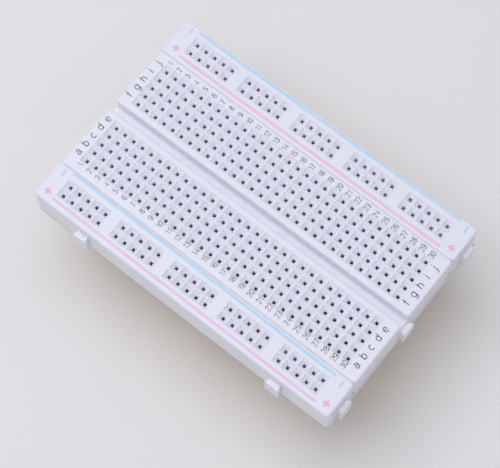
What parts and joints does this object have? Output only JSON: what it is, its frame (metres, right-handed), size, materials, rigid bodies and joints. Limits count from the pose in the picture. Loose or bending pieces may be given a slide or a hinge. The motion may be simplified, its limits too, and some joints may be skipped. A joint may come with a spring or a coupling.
{
  "type": "solderless breadboard",
  "caption": "Half-size solderless breadboard: a terminal strip with a centre trench between two detachable power rails, sprung contacts inside, adhesive foam and release liner underneath.",
  "frame": {"origin": "middle of the board's outline, on the underside of the release liner", "axes": "+X along the columns from 1 to 30, +Y from row a to row j, +Z out of the face that wires are pushed into"},
  "size_m": [0.0841, 0.0561, 0.0096],
  "materials": {
    "housing": "satin white ABS moulding",
    "contact_metal": "bright nickel plate on spring sheet",
    "foam": "closed-cell foam, matt",
    "liner": "waxed kraft release paper"
  },
  "bodies": {
    "terminal_strip": {"terminal_strip_housing": "housing", "terminal_strip_foam_pad": "foam", "terminal_clip_01": "contact_metal", "terminal_clip_02": "contact_metal", "terminal_clip_03": "contact_metal", "terminal_clip_04": "contact_metal", "terminal_clip_05": "contact_metal", "terminal_clip_06": "contact_metal", "terminal_clip_07": "contact_metal", "terminal_clip_08": "contact_metal", "terminal_clip_09": "contact_metal", "terminal_clip_10": "contact_metal", "terminal_clip_11": "contact_metal", "terminal_clip_12": "contact_metal", "terminal_clip_13": "contact_metal", "terminal_clip_14": "contact_metal", "terminal_clip_15": "contact_metal", "terminal_clip_16": "contact_metal", "terminal_clip_17": "contact_metal", "terminal_clip_18": "contact_metal", "terminal_clip_19": "contact_metal", "terminal_clip_20": "contact_metal", "terminal_clip_21": "contact_metal", "terminal_clip_22": "contact_metal", "terminal_clip_23": "contact_metal", "terminal_clip_24": "contact_metal", "terminal_clip_25": "contact_metal", "terminal_clip_26": "contact_metal", "terminal_clip_27": "contact_metal", "terminal_clip_28": "contact_metal", "terminal_clip_29": "contact_metal", "terminal_clip_30": "contact_metal"},
    "upper_rail": {"upper_rail_housing": "housing", "upper_positive_bus": "contact_metal", "upper_negative_bus": "contact_metal", "upper_rail_foam_pad": "foam"},
    "lower_rail": {"lower_rail_housing": "housing", "lower_positive_bus": "contact_metal", "lower_negative_bus": "contact_metal", "lower_rail_foam_pad": "foam"},
    "terminal_strip_liner": {"terminal_strip_release_liner": "liner"},
    "upper_rail_liner": {"upper_rail_release_liner": "liner"},
    "lower_rail_liner": {"lower_rail_release_liner": "liner"}
  },
  "joints": [
    {"name": "upper_rail_release", "type": "slide", "parent": "terminal_strip", "child": "upper_rail", "axis": [0, 0, -1], "range_m": [0, 0.014]},
    {"name": "lower_rail_release", "type": "slide", "parent": "terminal_strip", "child": "lower_rail", "axis": [0, 0, 1], "range_m": [0, 0.014]},
    {"name": "terminal_strip_liner_peel", "type": "slide", "parent": "terminal_strip", "child": "terminal_strip_liner", "axis": [0, 0, -1], "range_m": [0, 0.008]},
    {"name": "upper_rail_liner_peel", "type": "slide", "parent": "upper_rail", "child": "upper_rail_liner", "axis": [0, 0, -1], "range_m": [0, 0.008]},
    {"name": "lower_rail_liner_peel", "type": "slide", "parent": "lower_rail", "child": "lower_rail_liner", "axis": [0, 0, -1], "range_m": [0, 0.008]}
  ]
}
